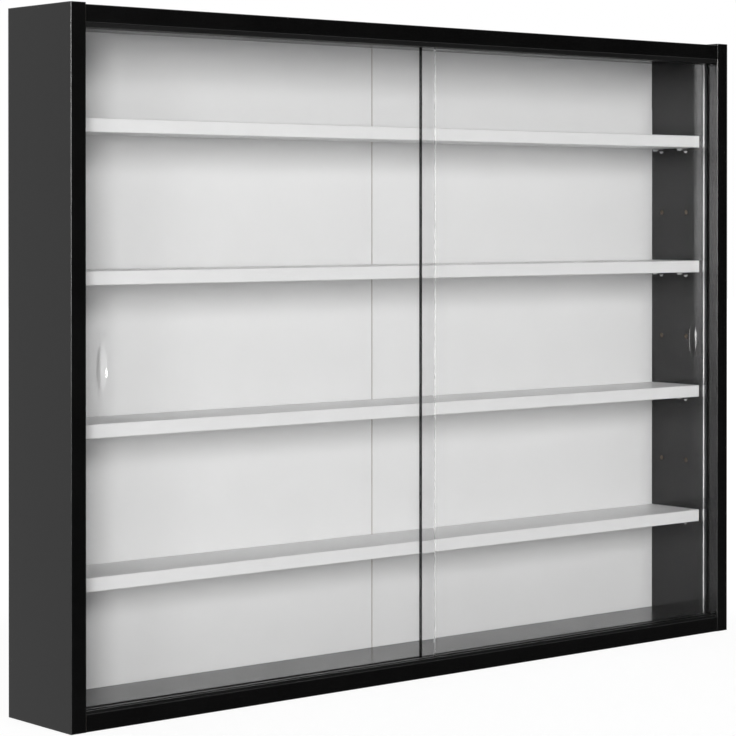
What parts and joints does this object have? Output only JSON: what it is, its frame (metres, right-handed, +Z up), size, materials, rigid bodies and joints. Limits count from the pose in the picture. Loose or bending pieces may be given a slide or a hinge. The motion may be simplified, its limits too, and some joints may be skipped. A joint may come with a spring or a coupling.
{
  "type": "wall display cabinet",
  "caption": "Shallow wall display cabinet with a black board frame, white back, adjustable white shelves on spoon pins and frameless glass doors that slide in double-channel tracks.",
  "frame": {"origin": "middle of the underside of the bottom panel", "axes": "+X along the width to the viewer's right, +Y from the glass front to the wall, +Z up"},
  "size_m": [0.8, 0.096, 0.6],
  "materials": {
    "black_board": "satin melamine on chipboard",
    "white_board": "satin melamine on chipboard",
    "white_hardboard": "white lacquered hardboard",
    "joint_tape": "matt self-adhesive tape",
    "clear_glass": "clear float glass, ground edges",
    "black_plastic": "extruded, semi-matt",
    "nickel_pin": "nickel plated",
    "zinc_steel": "zinc plated",
    "beech": "bare turned beech"
  },
  "bodies": {
    "cabinet": {"left_side_panel": "black_board", "right_side_panel": "black_board", "top_panel": "black_board", "bottom_panel": "black_board", "back_panel_left": "white_hardboard", "back_panel_right": "white_hardboard", "back_hinge_tape": "joint_tape", "back_panel_nails": "zinc_steel", "left_hanger_plate": "zinc_steel", "right_hanger_plate": "zinc_steel", "hanger_screws": "zinc_steel", "cam_bolts": "zinc_steel", "cam_locks": "zinc_steel", "frame_dowels": "beech", "shelf_1": "white_board", "shelf_2": "white_board", "shelf_3": "white_board", "shelf_4": "white_board", "shelf_1_pins": "nickel_pin", "shelf_2_pins": "nickel_pin", "shelf_3_pins": "nickel_pin", "shelf_4_pins": "nickel_pin", "upper_track": "black_plastic", "lower_track": "black_plastic"},
    "left_door": {"glass_door_left": "clear_glass"},
    "right_door": {"glass_door_right": "clear_glass"}
  },
  "joints": [
    {"name": "left_door_slide", "type": "slide", "parent": "cabinet", "child": "left_door", "axis": [1, 0, 0], "range_m": [0, 0.38]},
    {"name": "right_door_slide", "type": "slide", "parent": "cabinet", "child": "right_door", "axis": [1, 0, 0], "range_m": [-0.377, 0.003]}
  ]
}
